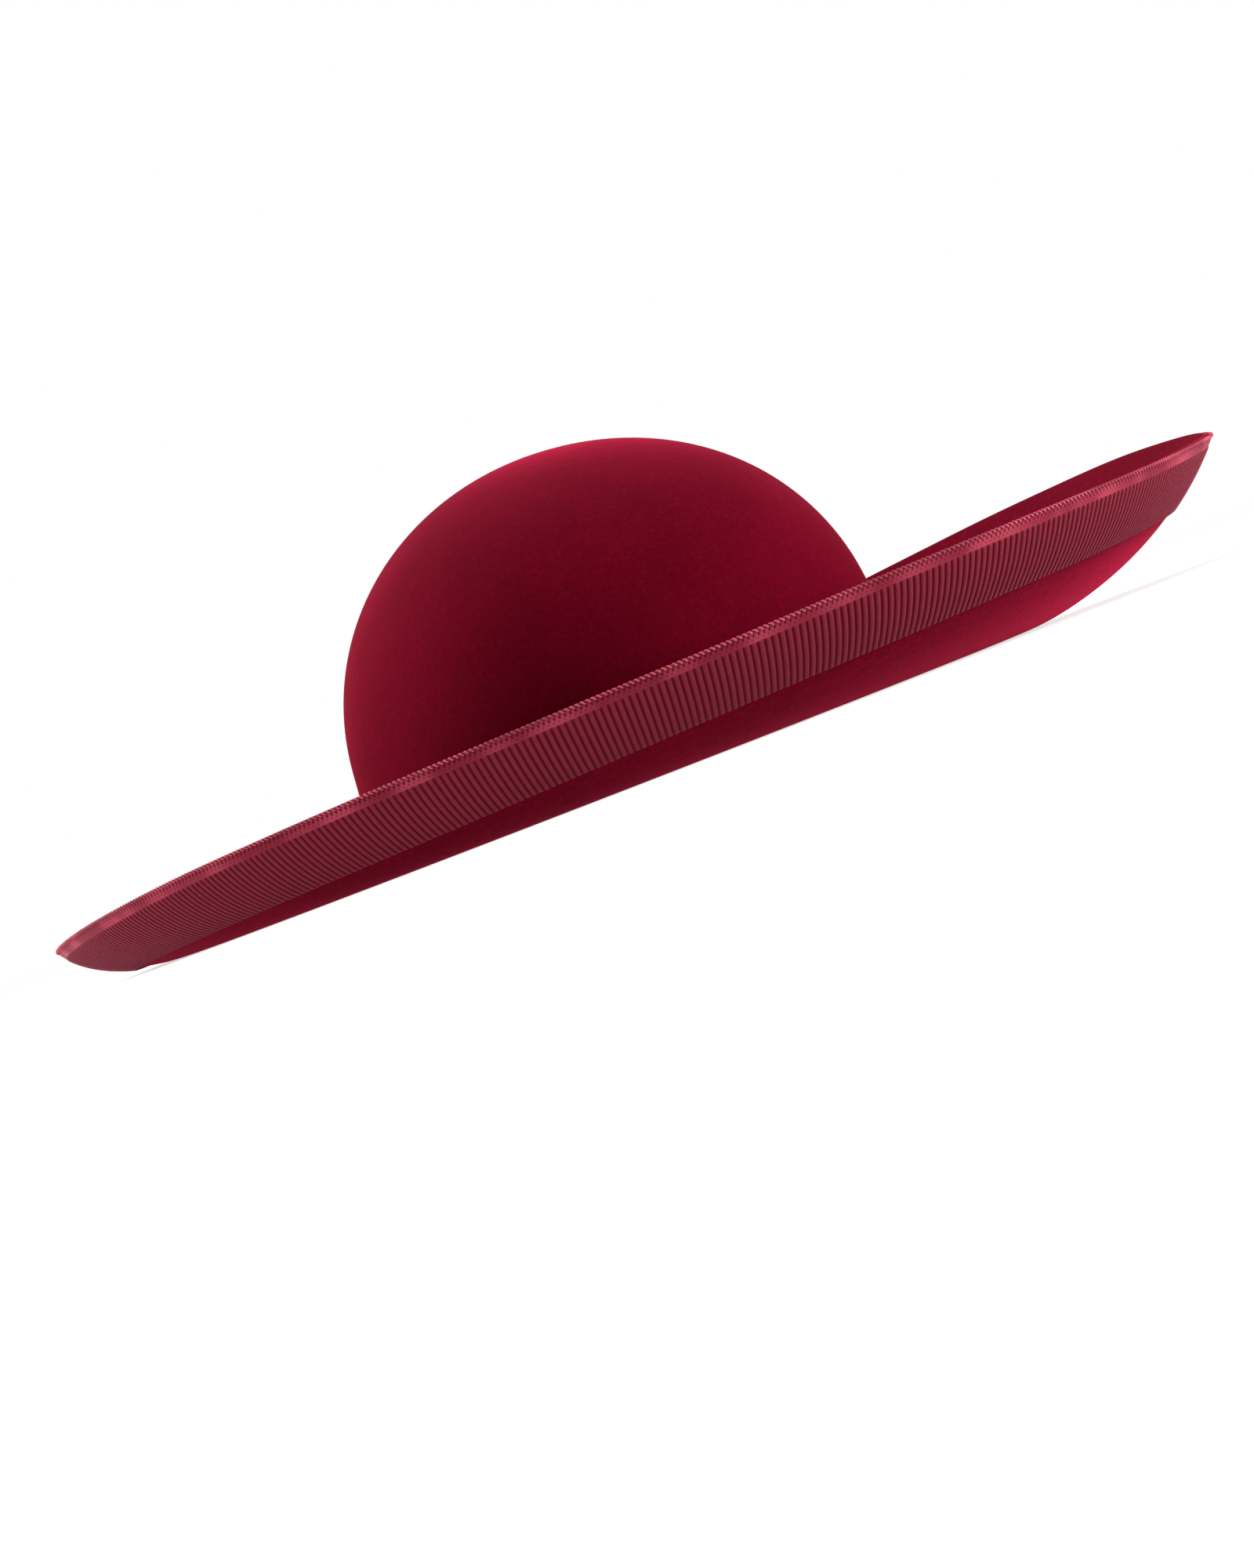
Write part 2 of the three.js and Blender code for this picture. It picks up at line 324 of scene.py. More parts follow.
def bezier(points, share):
    """A quadratic or cubic curve at each bearing, through the given shares of its run."""
    order = len(points) - 1
    share = share[None, :, None]
    return sum(
        math.comb(order, k) * (1 - share) ** (order - k) * share**k * point[:, None, :]
        for k, point in enumerate(points)
    )


def square_to(line, bearing):
    """The direction square to a section at each point, towards the inside and top of the bowl."""
    sideways = polar(1.0, bearing + math.pi / 2, 0.0)[:, None, :]
    along = np.gradient(line, axis=1)
    return unit(np.cross(along, sideways))


# The layers' half sizes at the opening, from the inside outwards
HEADBAND_INSIDE = np.array([OPENING_WIDTH / 2, OPENING_LENGTH / 2])
HEADBAND_OUTSIDE = HEADBAND_INSIDE + HEADBAND_THICKNESS
COLLAR_INSIDE = HEADBAND_OUTSIDE + LAYER_GAP
CROWN_INSIDE = COLLAR_INSIDE + BRIM_FELT + LAYER_GAP
CROWN_OUTSIDE = CROWN_INSIDE + CROWN_FELT

crown_turn = np.array(
    Matrix.Rotation(math.radians(CROWN_NOD_DEG), 3, "X")
    @ Matrix.Rotation(math.radians(CROWN_LEAN_DEG), 3, "Y")
)
crown_down = -crown_turn[:, 2]


def in_crown_frame(points):
    """From the tilted frame of the crown, the collar and the headband to the hat's."""
    return points @ crown_turn.T + [OPENING_SHIFT_X, OPENING_SHIFT_Y, OPENING_HEIGHT]


# Shapes


def wall_line(bearing, steps):
    """The turned-up part of the brim's outer face, from the standing ring to the edge."""
    edge_reach = BRIM_RADIUS * around("edge_reach", bearing)
    edge_height = BRIM_RISE * around("edge_rise", bearing)
    ring_reach = BRIM_RADIUS * around("fold_reach", bearing) + STANDING_RING_WIDTH / 2
    slope = np.radians(around("edge_slope", bearing))
    pull = np.hypot(edge_reach - ring_reach, edge_height) / 3
    corners = [
        polar(ring_reach, bearing, 0.0),
        polar(ring_reach + pull, bearing, 0.0),
        polar(edge_reach - pull * np.cos(slope), bearing, edge_height - pull * np.sin(slope)),
        polar(edge_reach, bearing, edge_height),
    ]
    share = np.linspace(0, 1, steps + 1)
    line = bezier(corners, share)
    swell = BRIM_UNEVENNESS * share**2 * unevenness(bearing[:, None], share)
    return line + swell[:, :, None] * square_to(line, bearing)


def brim_underside(bearing):
    """The brim's lower face, from the collar over the bend and the standing ring to the edge."""
    heights = np.linspace(COLLAR_TOP, COLLAR_FOOT, POINTS_ON_COLLAR)
    collar = in_crown_frame(on_ellipse(COLLAR_INSIDE, bearing[:, None], heights[None, :]))
    foot = collar[:, -1]

    fold_reach = BRIM_RADIUS * around("fold_reach", bearing)
    ring_inside = polar(fold_reach - STANDING_RING_WIDTH / 2, bearing, 0.0)
    run = (ring_inside - foot) * [1, 1, 0]
    drop = foot[:, 2] - COLLAR_BEND_RADIUS
    slope = unit(run / 2 - drop[:, None] * [0, 0, 1])
    turn = np.arccos(slope @ crown_down)
    outward = unit(slope - (slope @ crown_down)[:, None] * crown_down)
    part = turn[:, None] * np.linspace(0, 1, POINTS_ON_BEND)[None, 1:]
    bend = foot[:, None] + COLLAR_BEND_RADIUS * np.sin(part)[..., None] * crown_down
    bend += COLLAR_BEND_RADIUS * (1 - np.cos(part))[..., None] * outward[:, None]

    bend_end = bend[:, -1]
    knee = bend_end + slope * (bend_end[:, 2] / -slope[:, 2])[:, None]
    share = np.linspace(0, 1, POINTS_ON_LEVEL)
    level_out = bezier([bend_end, knee, ring_inside], share)
    swell = BRIM_UNEVENNESS * (share * (1 - share)) ** 2 * LEVEL_UNEVENNESS_SHARE
    swell = swell * unevenness(bearing[:, None], share)
    level_out += swell[:, :, None] * square_to(level_out, bearing)
    return np.concatenate([collar, bend, level_out[:, 1:], wall_line(bearing, STEPS_UP_WALL)], 1)


def rounded_edge(first, last, onward, bulge):
    """Points round the end of a sheet, from one face's last point to the other's."""
    angle = np.linspace(0, math.pi, STEPS_ROUND_EDGE + 1)[1:-1][None, :, None]
    middle = ((first + last) / 2)[:, None]
    half = ((first - last) / 2)[:, None]
    return middle + half * np.cos(angle) + onward[:, None] * bulge * np.sin(angle)


def brim_section(bearing):
    under = brim_underside(bearing)
    over = under + BRIM_FELT * square_to(under, bearing)
    onward = unit(under[:, -1] - under[:, -2])
    upward = unit(under[:, 0] - under[:, 1])
    edge = rounded_edge(under[:, -1], over[:, -1], onward, FELT_EDGE_BULGE)
    top = rounded_edge(over[:, 0], under[:, 0], upward, FELT_EDGE_BULGE)
    return np.concatenate([under, edge, over[:, ::-1], top], 1)


def brim_top_at(distance):
    """Height of the brim's upper face at a distance outwards from the collar's inner face."""
    radius = COLLAR_BEND_RADIUS - BRIM_FELT
    left = max(COLLAR_BEND_RADIUS - distance, 0)
    return COLLAR_FOOT - math.sqrt(max(radius**2 - left**2, 0))


def crown_line(bearing, halves, top, foot):
    """One face of the crown, from its top down the dome and the straight wall to its foot."""
    angle = np.linspace(math.pi / 2, 0, STEPS_UP_DOME + 1)
    narrowing = np.cos(angle) ** (2 / CROWN_FULLNESS)
    narrowing[0] = 0
    dome_height = COLLAR_TOP + (top - COLLAR_TOP) * np.sin(angle) ** (2 / CROWN_FULLNESS)
    wall_height = np.linspace(COLLAR_TOP, foot, POINTS_ON_CROWN_FOOT)[1:]
    narrowing = np.concatenate([narrowing, np.ones(len(wall_height))])
    height = np.concatenate([dome_height, wall_height])
    line = on_ellipse(halves, bearing[:, None], height[None, :])
    line[..., :2] *= narrowing[None, :, None]
    swell = CROWN_UNEVENNESS * unevenness(bearing[:, None], 2 * narrowing)
    swell *= narrowing * np.clip(height / top, 0, 1)
    line[..., :2] *= 1 + swell[..., None] / halves.mean()
    return line


def crown_section(bearing):
    inner_foot = brim_top_at(BRIM_FELT + LAYER_GAP) + FOOT_GAP
    outer_foot = brim_top_at(BRIM_FELT + LAYER_GAP + CROWN_FELT) + FOOT_GAP
    inside = crown_line(bearing, CROWN_INSIDE, CROWN_HEIGHT - CROWN_FELT, inner_foot)
    outside = crown_line(bearing, CROWN_OUTSIDE, CROWN_HEIGHT, outer_foot)
    return in_crown_frame(np.concatenate([inside, outside[:, ::-1]], 1))


def headband_section(bearing):
    bottom = -HEADBAND_DROP
    top = HEADBAND_HEIGHT - HEADBAND_DROP
    heights = np.linspace(top, bottom, POINTS_ON_HEADBAND)[None, :]
    inside = on_ellipse(HEADBAND_INSIDE, bearing[:, None], heights)
    outside = on_ellipse(HEADBAND_OUTSIDE, bearing[:, None], heights)
    down = np.broadcast_to([0.0, 0.0, -1.0], inside[:, 0].shape)
    low = rounded_edge(inside[:, -1], outside[:, -1], down, HEADBAND_THICKNESS / 2)
    high = rounded_edge(outside[:, 0], inside[:, 0], -down, HEADBAND_THICKNESS / 2)
    return in_crown_frame(np.concatenate([inside, low, outside[:, ::-1], high], 1))


def even_bearings(count):
    """Bearings that divide the brim's edge into equal lengths."""
    fine = np.linspace(0, 2 * math.pi, MEASURED_EDGE_BEARINGS)
    edge = wall_line(fine, MEASURED_EDGE_STEPS)[:, -1]
    length = np.concatenate([[0], np.cumsum(np.linalg.norm(np.diff(edge, axis=0), axis=1))])
    return np.interp(np.linspace(0, length[-1], count, endpoint=False), length, fine)


def on_wall(bearing, distance):
    """Points of the brim's outer face at distances from its edge.

    Returns them with the direction up to the edge at each bearing, and outwards at each point.
    """
    line = wall_line(bearing, MEASURED_WALL_STEPS)[:, ::-1]
    spans = np.linalg.norm(np.diff(line, axis=1), axis=2)
    length = np.concatenate([np.zeros((len(bearing), 1)), np.cumsum(spans, 1)], 1)
    outward = -square_to(line[:, ::-1], bearing)[:, ::-1]
    points = np.empty((len(bearing), len(distance), 3))
    normals = np.empty_like(points)
    for j in range(len(bearing)):
        for axis in range(3):
            points[j, :, axis] = np.interp(distance, length[j], line[j, :, axis])
            normals[j, :, axis] = np.interp(distance, length[j], outward[j, :, axis])
    to_edge = unit(line[:, 0] - line[:, 1])
    return points, to_edge, unit(normals)


def ribbon_rows():
    """Distances from the ribbon's upper edge of the points on its front."""
    return np.concatenate([
        SELVEDGE_ROWS,
        [SELVEDGE_WIDTH, SELVEDGE_WIDTH + RIB_ROUNDING, SELVEDGE_WIDTH + RIB_RISE],
        np.linspace(RIB_ROWS_FROM, RIB_ROWS_TO, RIB_ROWS),
        [RIBBON_WIDTH - RIB_RISE, RIBBON_WIDTH - RIB_ROUNDING, RIBBON_WIDTH],
    ])


def ribbon_columns():
    """Positions round the ribbon, counted in ribs, and each one's depth below the ribs' top."""
    ribs = np.arange(RIB_COUNT)[:, None]
    place = (ribs + [share for share, _ in RIB_PROFILE]).ravel()
    depth = np.tile([depth for _, depth in RIB_PROFILE], RIB_COUNT)
    return place, depth


def bearing_of(place):
    """Bearing of a position that is counted in ribs."""
    marks = np.append(even_bearings(RIB_COUNT), 2 * math.pi)
    return np.interp(place, np.arange(RIB_COUNT + 1), marks)


def ribbon_section():
    """The ribbon's sections, with their places in ribs and their distances from its upper edge."""
    place, depth = ribbon_columns()
    face = ribbon_rows()
    ribbed = np.interp(face, [SELVEDGE_WIDTH, SELVEDGE_WIDTH + RIB_RISE], [0, 1])
    ribbed *= np.interp(face, [RIBBON_WIDTH - RIB_ROUNDING, RIBBON_WIDTH], [1, RIB_END_SHARE])
    plain_rows = [0, SELVEDGE_ROWS[1], RIBBON_WIDTH - RIB_RISE, RIBBON_WIDTH]
    plain_shares = [UPPER_EDGE_SHARE, 1, 1, LOWER_EDGE_SHARE]
    plain = SELVEDGE_TOP * np.interp(face, plain_rows, plain_shares)
    rib_height = RIB_TOP - RIB_DEPTH * depth[:, None]
    height = plain[None, :] + (rib_height - plain[None, :]) * ribbed[None, :]

    points, to_edge, outward = on_wall(bearing_of(place), face)
    front = points + outward * height[..., None]
    front[:, 0] += to_edge * RIBBON_OVERHANG
    scallop = RIB_END_SCALLOP * (1 - 2 * depth)
    front[:, -1] -= to_edge * scallop[:, None]
    back = points[:, BACK_ROWS] + outward[:, BACK_ROWS] * RIBBON_BACK
    back[:, -1] += to_edge * RIBBON_OVERHANG
    distance = np.concatenate([face, face[BACK_ROWS]])
    section = np.concatenate([front, back], 1)
    return section[:, ::-1], place, distance[::-1]


def bead_section():
    """The cord of slanting beads at the ribbon's upper edge, with places in beads and round it."""
    beads = round(RIB_COUNT * BEADS_PER_RIB)
    place = np.arange(beads * STEPS_PER_BEAD) / STEPS_PER_BEAD * RIB_COUNT / beads
    edge, to_edge, outward = on_wall(bearing_of(place), np.array([0.0]))
    centre = edge[:, 0] + to_edge * (RIBBON_OVERHANG + BEAD_LIFT)
    centre += outward[:, 0] * SELVEDGE_TOP * BEAD_HEIGHT_SHARE
    angle = np.arange(CORD_SIDES) * 2 * math.pi / CORD_SIDES
    phase = 2 * math.pi * place[:, None] * beads / RIB_COUNT + angle[None, :]
    radius = BEAD_RADIUS * (1 - BEAD_SWELL + BEAD_SWELL * np.cos(phase))
    ring = to_edge[:, None] * np.sin(angle)[None, :, None] + outward * np.cos(angle)[None, :, None]
    return centre[:, None] + ring * radius[..., None], place * beads / RIB_COUNT, angle / (2 * math.pi)


# Meshes


def make_mesh(name, section, material, looped=True, uv=None):
    """A closed skin through the sections. A section that isn't looped starts and ends on the axis."""
    bearings, points = section.shape[:2]
    if looped:
        vertices = section.reshape(-1, 3)
        index = np.arange(bearings * points).reshape(bearings, points)
        index = np.concatenate([index, index[:, :1]], 1)
    else:
        poles = section[:, [0, -1]].mean(0)
        vertices = np.concatenate([section[:, 1:-1].reshape(-1, 3), poles])
        body = np.arange(bearings * (points - 2)).reshape(bearings, points - 2)
        first = np.full((bearings, 1), len(vertices) - 2)
        index = np.concatenate([first, body, first + 1], 1)
    after = np.roll(index, -1, 0)
    quads = np.stack([index[:, :-1], after[:, :-1], after[:, 1:], index[:, 1:]], -1)
    if looped:
        faces = quads.reshape(-1, 4).tolist()
    else:
        faces = quads[:, 1:-1].reshape(-1, 4).tolist()
        faces += quads[:, 0, [0, 2, 3]].tolist()
        faces += quads[:, -1, [0, 1, 2]].tolist()
    mesh = bpy.data.meshes.new(name)
    mesh.from_pydata(vertices.tolist(), [], faces)
    mesh.polygons.foreach_set("use_smooth", np.ones(len(faces), bool))
    if uv is not None:
        layer = mesh.uv_layers.new(name="surface")
        layer.data.foreach_set("uv", uv.astype(np.float32).ravel())
    mesh.materials.append(material)
    mesh.update()
    piece = bpy.data.objects.new(name, mesh)
    bpy.context.scene.collection.objects.link(piece)
    return piece


def corner_uv(across, along, along_end):
    """UV of each face corner: across has one value for each bearing and along one for each point."""
    across_after = np.append(across[1:], across[-1] + (across[1] - across[0]))
    along = np.append(along, along_end)
    j, i = np.meshgrid(np.arange(len(across)), np.arange(len(along) - 1), indexing="ij")
    near = np.stack([across[j], across_after[j], across_after[j], across[j]], -1)
    far = np.stack([along[i], along[i], along[i + 1], along[i + 1]], -1)
    return np.stack([near, far], -1)


# Materials


def linear(colour):
    """sRGB from 0 to 255 as the linear colour that Blender's sockets take."""
    shares = [value / 255 for value in colour]
    return [s / 12.92 if s <= 0.04045 else ((s + 0.055) / 1.055) ** 2.4 for s in shares] + [1.0]


def add_node(tree, kind, settings=None, **inputs):
    made = tree.nodes.new(kind)
    for name, value in (settings or {}).items():
        setattr(made, name, value)
    for name, value in inputs.items():
        socket = made.inputs[name.replace("_", " ")]
        if isinstance(value, bpy.types.NodeSocket):
            tree.links.new(value, socket)
        else:
            socket.default_value = value
    return made


def calculate(tree, operation, *values):
    made = tree.nodes.new("ShaderNodeMath")
    made.operation = operation
    for socket, value in zip(made.inputs, values):
        if isinstance(value, bpy.types.NodeSocket):
            tree.links.new(value, socket)
        else:
            socket.default_value = value
    return made.outputs[0]


def map_range(tree, value, low, high, to_low=0.0, to_high=1.0, smooth=False):
    made = add_node(tree, "ShaderNodeMapRange", Value=value)
    made.interpolation_type = "SMOOTHSTEP" if smooth else "LINEAR"
    for name, number in (("From Min", low), ("From Max", high), ("To Min", to_low), ("To Max", to_high)):
        made.inputs[name].default_value = number
    return made.outputs[0]


def mix(tree, share, first, second):
    made = tree.nodes.new("ShaderNodeMix")
    made.data_type = "RGBA"
    sockets = [s for s in made.inputs if s.enabled]
    for socket, value in zip(sockets, (share, first, second)):
        if isinstance(value, bpy.types.NodeSocket):
            tree.links.new(value, socket)
        else:
            socket.default_value = value
    return next(s for s in made.outputs if s.enabled)


def noise(tree, place, per_metre, detail=2.0, roughness=0.5, stretch=(1, 1, 1)):
    """Noise with the given number of cells in a metre, stretched along the axes."""
    scaled = add_node(tree, "ShaderNodeMapping", Vector=place, Scale=[per_metre * s for s in stretch])
    made = add_node(tree, "ShaderNodeTexNoise", Vector=scaled.outputs[0], Scale=1.0)
    made.inputs["Detail"].default_value = detail
    made.inputs["Roughness"].default_value = roughness
    return made.outputs[0]


def strands(tree, place, per_metre, width):
    """Thin winding lines, broken into short lengths, as single fibres lie on felt."""
    field = noise(tree, place, per_metre, 1.0, 0.5, FIBRE_LIE)
    off_line = calculate(tree, "ABSOLUTE", calculate(tree, "SUBTRACT", field, 0.5))
    line = map_range(tree, off_line, 0.0, width, 1.0, 0.0)
    gaps = map_range(tree, noise(tree, place, per_metre * 1.7, 1.0), 0.5, 0.58, smooth=True)
    return calculate(tree, "MULTIPLY", line, gaps)


def relief(tree, shader, height, strength, depth):
    """Unevenness that is too fine for the mesh, as a bump of the given depth."""
    bump = add_node(tree, "ShaderNodeBump", Height=height, Strength=strength, Distance=depth)
    tree.links.new(bump.outputs[0], shader.inputs["Normal"])


def set_sheen(shader, weight, roughness, tint):
    """The soft light of a nap or of fine threads, seen along the surface."""
    shader.inputs["Sheen Weight"].default_value = weight
    shader.inputs["Sheen Roughness"].default_value = roughness
    shader.inputs["Sheen Tint"].default_value = linear(tint)


def new_material(name):
    material = bpy.data.materials.new(name)
    material.use_nodes = True
    tree = material.node_tree
    return material, tree, tree.nodes["Principled BSDF"]


def make_felt(name, deep, main, nap, shows):
    """Wool felt: mottled wool, a short nap of fine fibres, and the pale sheen of the nap at its edge."""
    material, tree, shader = new_material(name)
    place = add_node(tree, "ShaderNodeTexCoord").outputs["Object"]
    cloud = map_range(tree, noise(tree, place, CLOUDS_PER_METRE, 3.0), 0.3, 0.7, smooth=True)
    clump = map_range(tree, noise(tree, place, CLUMPS_PER_METRE, 3.0, 0.6), 0.3, 0.7, smooth=True)
    grain = noise(tree, place, GRAINS_PER_METRE, 4.0, 0.62)
    fine_fibres = strands(tree, place, *FINE_FIBRES)
    fibres = calculate(tree, "MAXIMUM", strands(tree, place, *COARSE_FIBRES), fine_fibres)

    # slow clouds of colour, then hollows and tufts in the wool, then single paler fibres
    colour = mix(tree, map_range(tree, cloud, 0, 1, 0.3, 0.85), linear(deep), linear(main))
    colour = mix(tree, map_range(tree, clump, 0, 1, 0.3 * shows, 0.0), colour, linear(deep))
    colour = mix(tree, map_range(tree, grain, 0.36, 0.52, 0.34 * shows, 0.0), colour, linear(deep))
    colour = mix(tree, map_range(tree, grain, 0.5, 0.66, 0.0, 0.24 * shows), colour, linear(nap))
    colour = mix(tree, calculate(tree, "MULTIPLY", fibres, 0.24 * shows), colour, linear(nap))
    tree.links.new(colour, shader.inputs["Base Color"])
    tree.links.new(map_range(tree, grain, 0.3, 0.7, 0.86, 1.0), shader.inputs["Roughness"])
    shader.inputs["Specular IOR Level"].default_value = 0.02
    set_sheen(shader, 0.3, 0.32, FELT_SHEEN)

    height = calculate(tree, "MULTIPLY_ADD", fibres, 0.25, grain)
    height = calculate(tree, "MULTIPLY_ADD", clump, 0.5, height)
    relief(tree, shader, height, 0.5, FELT_RELIEF * shows)
    return material


def make_ribbon_material():
    """Ribbed ribbon. Its UV counts ribs across and metres down from the upper edge."""
    material, tree, shader = new_material("ribbed_ribbon")
    uv = add_node(tree, "ShaderNodeTexCoord").outputs["UV"]
    apart = add_node(tree, "ShaderNodeSeparateXYZ", Vector=uv)
    ribs, down = apart.outputs[0], apart.outputs[1]
    across = calculate(tree, "FRACT", ribs)
    off_middle = calculate(tree, "ABSOLUTE", calculate(tree, "SUBTRACT", across, 0.5))
    # painted shade in the grooves between the ribs, which the ribbon's mesh already has
    groove_shade = map_range(tree, off_middle, 0.22, 0.38, smooth=True)
    on_ribs = map_range(tree, down, GROOVE_FROM, GROOVE_FULL)
    fading = map_range(tree, down, GROOVE_FADES_FROM, RIBBON_WIDTH, 1.0, GROOVE_AT_LOWER_EDGE)
    groove_shade = calculate(tree, "MULTIPLY", groove_shade, calculate(tree, "MULTIPLY", on_ribs, fading))

    # each rib has its own tone, and the threads wound over it run along the ribbon, with painted shade
    # between them
    rib_number = calculate(tree, "FLOOR", ribs)
    own = add_node(tree, "ShaderNodeTexWhiteNoise", {"noise_dimensions": "1D"}, W=rib_number).outputs[0]
    thread_turn = calculate(tree, "MULTIPLY", down, 2 * math.pi / THREAD_SPACING)
    threads = calculate(tree, "SINE", thread_turn)
    wear_down = calculate(tree, "MULTIPLY", down, WEAR_DOWN)
    thread_place = add_node(tree, "ShaderNodeCombineXYZ", X=ribs, Y=wear_down)
    worn = noise(tree, thread_place.outputs[0], WEAR_PER_RIB, 3.0, 0.6)

    # the rib tops' colour carries a painted sheen haze
    face = mix(tree, map_range(tree, own, 0, 1, 0.0, 0.14), linear(RIB_FACE_AND_SHEEN), linear(SELVEDGE_FACE))
    face = mix(tree, map_range(tree, worn, 0.35, 0.7, 0.0, 0.22), face, linear(FELT_MAIN))
    face = mix(tree, map_range(tree, threads, -1, 1, 0.0, 0.12), face, linear(RIBBON_SHADE))

    # the upper selvedge has a row of stitch holes darkened with painted shade under the beads and a
    # fainter row below
    bead_turn = calculate(tree, "MULTIPLY", ribs, 2 * math.pi * BEADS_PER_RIB)
    rows = []
    for row_place, weight, phase in HOLE_ROWS:
        off_row = calculate(tree, "ABSOLUTE", calculate(tree, "SUBTRACT", down, row_place))
        across_row = map_range(tree, off_row, HOLE_CORE, HOLE_REACH, weight, 0.0, True)
        wave = calculate(tree, "SINE", calculate(tree, "ADD", bead_turn, phase))
        along_row = map_range(tree, wave, 0.0, 0.7, smooth=True)
        rows.append(calculate(tree, "MULTIPLY", across_row, along_row))
    dotted = calculate(tree, "ADD", *rows)
    stretch_place = add_node(
        tree, "ShaderNodeCombineXYZ", X=calculate(tree, "MULTIPLY", ribs, RUBBED_PER_RIB)
    )
    rubbed = map_range(tree, noise(tree, stretch_place.outputs[0], 1.0), 0.42, 0.62, 0.0, 0.3, True)
    selvedge = mix(tree, rubbed, linear(SELVEDGE_FACE), linear(BEAD_THREAD_AND_SHEEN))
    selvedge = mix(tree, dotted, selvedge, linear(RIBBON_SHADE))

    colour = mix(tree, on_ribs, selvedge, face)
    colour = mix(tree, groove_shade, colour, linear(RIBBON_SHADE))
    tree.links.new(colour, shader.inputs["Base Color"])
    tree.links.new(map_range(tree, worn, 0.3, 0.7, 0.62, 0.8), shader.inputs["Roughness"])
    shader.inputs["Specular IOR Level"].default_value = 0.06
    set_sheen(shader, 0.18, 0.3, RIBBON_SHEEN)

    height = calculate(tree, "MULTIPLY_ADD", threads, 0.3, worn)
    height = calculate(tree, "MULTIPLY_ADD", dotted, -1.0, height)
    relief(tree, shader, height, 0.35, RIBBON_RELIEF)
    return material


def make_bead_material():
    """The thread of the beads. Its UV counts beads along the cord and turns round it."""
    material, tree, shader = new_material("ribbon_edge_thread")
    place = add_node(tree, "ShaderNodeTexCoord").outputs["Object"]
    fuzz = noise(tree, place, THREAD_FIBRES_PER_METRE, 2.0, 0.6)
    # how strongly the painted highlight on the beads' crowns shows, in stretches along the edge
    highlight_patches = map_range(tree, noise(tree, place, THREAD_HIGHLIGHT_PATCHES_PER_METRE, 2.0), 0.4, 0.62, 0.3, 1.0, True)

    # each bead has a painted highlight on its crown and painted shade where it meets the next one
    uv = add_node(tree, "ShaderNodeTexCoord").outputs["UV"]
    apart = add_node(tree, "ShaderNodeSeparateXYZ", Vector=uv)
    across = calculate(tree, "FRACT", calculate(tree, "ADD", apart.outputs[0], apart.outputs[1]))
    off_joint = calculate(tree, "ABSOLUTE", calculate(tree, "SUBTRACT", across, 0.5))
    crest_highlight = calculate(tree, "MULTIPLY", map_range(tree, off_joint, 0.2, 0.42, smooth=True), highlight_patches)
    pale = map_range(tree, fuzz, 0.35, 0.65, 0.6, 1.0)
    thread = mix(tree, pale, linear(SELVEDGE_FACE), linear(BEAD_THREAD_AND_SHEEN))
    colour = mix(tree, map_range(tree, off_joint, 0.0, 0.25), linear(RIBBON_SHADE), linear(SELVEDGE_FACE))
    colour = mix(tree, crest_highlight, colour, thread)
    tree.links.new(colour, shader.inputs["Base Color"])
    tree.links.new(map_range(tree, fuzz, 0.3, 0.7, 0.5, 0.7), shader.inputs["Roughness"])
    shader.inputs["Specular IOR Level"].default_value = 0.15
    relief(tree, shader, fuzz, 0.3, THREAD_RELIEF)
    return material


# Floor and light


def make_floor():
    material, tree, shader = new_material("pale_floor")
    place = add_node(tree, "ShaderNodeTexCoord").outputs["Object"]
    patch = map_range(tree, noise(tree, place, FLOOR_PATCHES_PER_METRE), 0.3, 0.7, 0.0, 1.0, True)
    colour = mix(tree, patch, linear(FLOOR_DARK), linear(FLOOR_LIGHT))
    tree.links.new(colour, shader.inputs["Base Color"])
    shader.inputs["Roughness"].default_value = 1.0
    shader.inputs["Specular IOR Level"].default_value = 0.0
    shader.inputs["Emission Color"].default_value = (1, 1, 1, 1)
    shader.inputs["Emission Strength"].default_value = FLOOR_GLOW
    bpy.ops.mesh.primitive_plane_add(size=FLOOR_SIZE)
    floor = bpy.context.object
    floor.name = "floor"
    floor.data.materials.append(material)


def make_lamp(name, place, size, watts):
    """A round lamp that points at the hat."""
    data = bpy.data.lights.new(name, "AREA")
    data.shape = "DISK"
    data.size = size
    data.energy = watts
    light = bpy.data.objects.new(name, data)
    light.location = place
    light.rotation_euler = (-Vector(place)).to_track_quat("-Z", "Y").to_euler()
    bpy.context.scene.collection.objects.link(light)


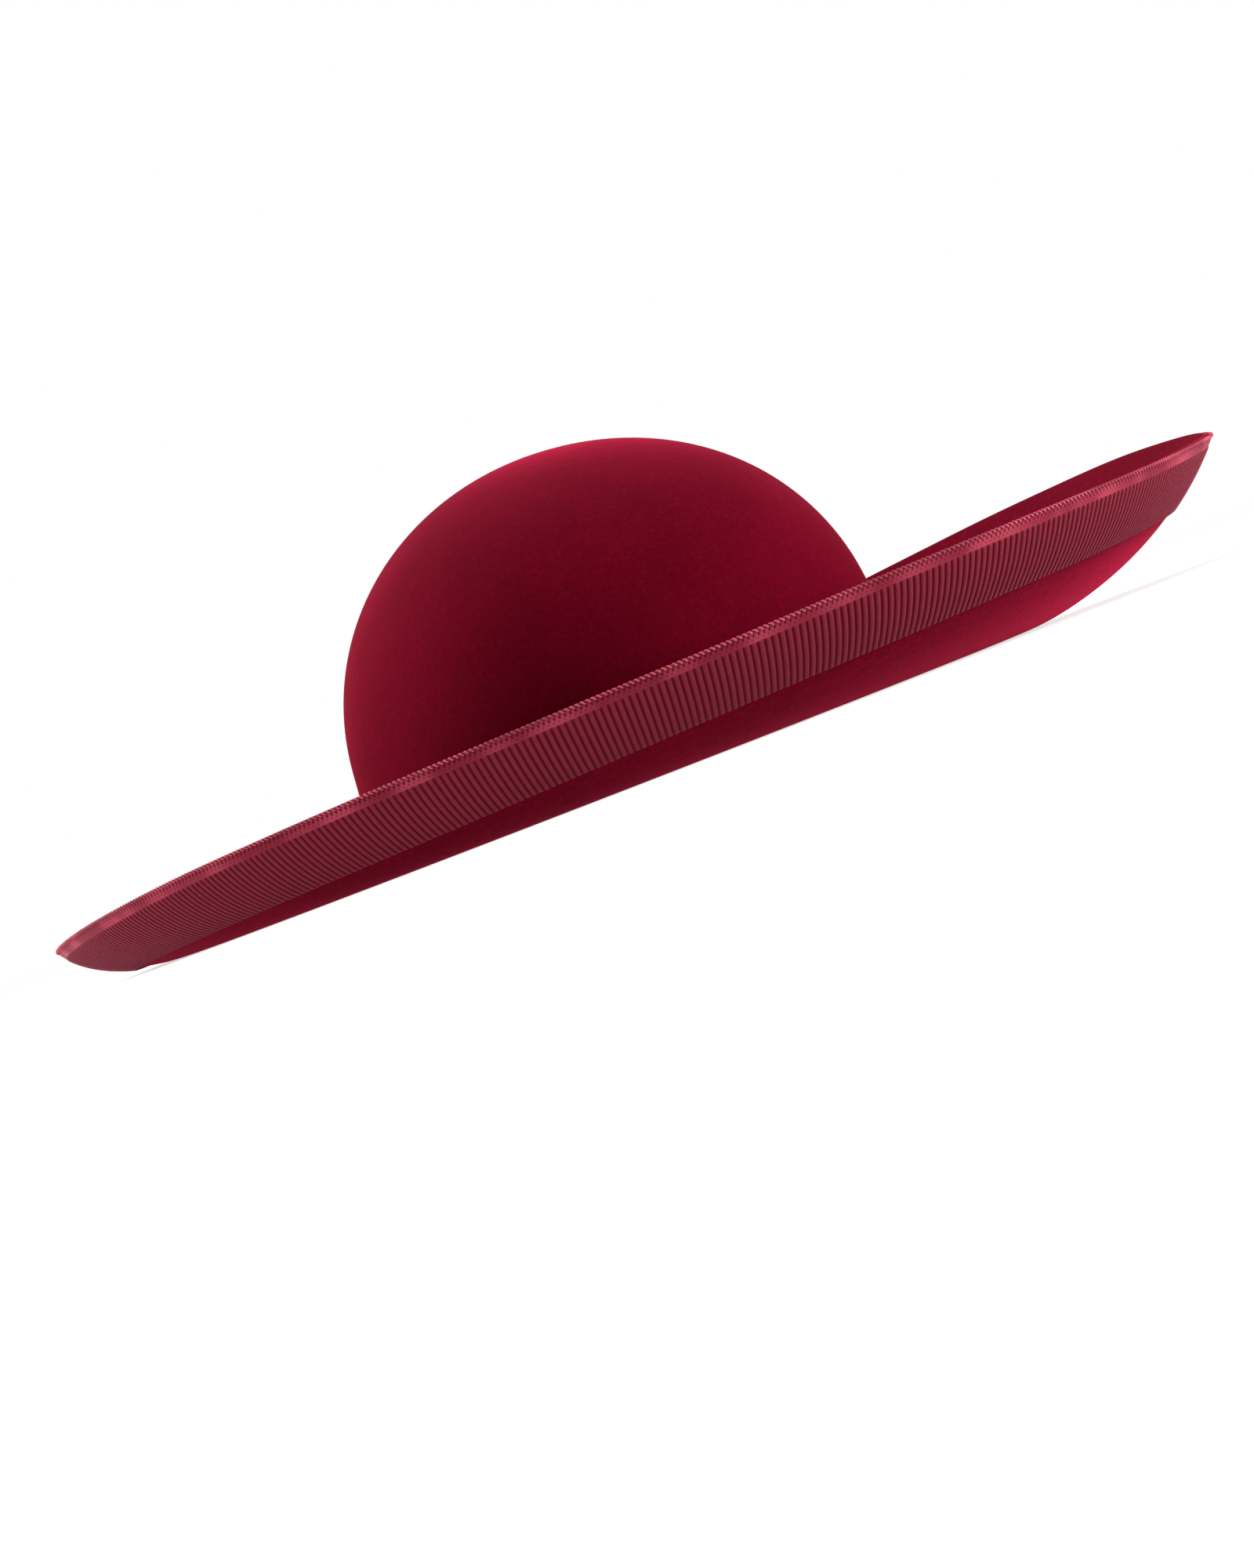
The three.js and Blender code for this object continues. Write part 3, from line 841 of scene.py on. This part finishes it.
def make_studio():
    """White surroundings, which the camera sees as plain white, and the lamps."""
    world = bpy.data.worlds.new("studio")
    bpy.context.scene.world = world
    world.use_nodes = True
    tree = world.node_tree
    background = tree.nodes["Background"]
    background.inputs[0].default_value = (1, 1, 1, 1)
    direction = add_node(tree, "ShaderNodeTexCoord").outputs["Generated"]
    depth = add_node(tree, "ShaderNodeSeparateXYZ", Vector=direction).outputs[1]
    light = map_range(tree, depth, -LIGHT_BLEND, LIGHT_BLEND, FRONT_LIGHT, BACK_LIGHT)
    seen = add_node(tree, "ShaderNodeLightPath").outputs["Is Camera Ray"]
    tree.links.new(calculate(tree, "MAXIMUM", seen, light), background.inputs[1])
    for lamp in LAMPS:
        make_lamp(*lamp)
    bpy.context.scene.view_settings.view_transform = "Standard"


# The hat


def build_hat():
    crown_felt = make_felt("crown_felt", FELT_DEEP, FELT_MAIN, FELT_NAP, CROWN_NAP_SHOWS)
    brim_felt = make_felt("brim_felt", FELT_DEEP, FELT_MAIN, FELT_NAP, BRIM_NAP_SHOWS)
    bearings = np.arange(STEPS_AROUND) * 2 * math.pi / STEPS_AROUND
    ribbon, place, distance = ribbon_section()
    beads, bead_place, cord_share = bead_section()
    pieces = {
        "felt_crown": make_mesh("felt_crown", crown_section(bearings), crown_felt, looped=False),
        "felt_brim": make_mesh("felt_brim", brim_section(bearings), brim_felt),
        "ribbed_ribbon": make_mesh(
            "ribbed_ribbon",
            ribbon,
            make_ribbon_material(),
            uv=corner_uv(place, distance, distance[0]),
        ),
        "ribbon_edge_beads": make_mesh(
            "ribbon_edge_beads", beads, make_bead_material(), uv=corner_uv(bead_place, cord_share, 1.0)
        ),
        # the headband's felt colours carry painted shade
        "inner_headband": make_mesh(
            "inner_headband",
            headband_section(bearings),
            make_felt("headband_felt", HEADBAND_SHADED_DEEP, HEADBAND_SHADED_MAIN, FELT_MAIN, CROWN_NAP_SHOWS),
        ),
    }

    # the CAD's origin is the middle of its outline, on the surface that it stands on
    low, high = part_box("brim")
    points = np.array([vertex.co for vertex in pieces["felt_brim"].data.vertices])
    middle = (points.min(0) + points.max(0)) / 2
    shift = np.array((low + high) / 2) - middle
    shift[2] = low.z - points[:, 2].min()
    for piece in pieces.values():
        piece.data.transform(Matrix.Translation(shift))
        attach(piece, "root")

    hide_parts("crown")
    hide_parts("brim")
    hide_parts("edge_ribbon")
    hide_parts("headband")


make_camera()
build_hat()
make_floor()
make_studio()
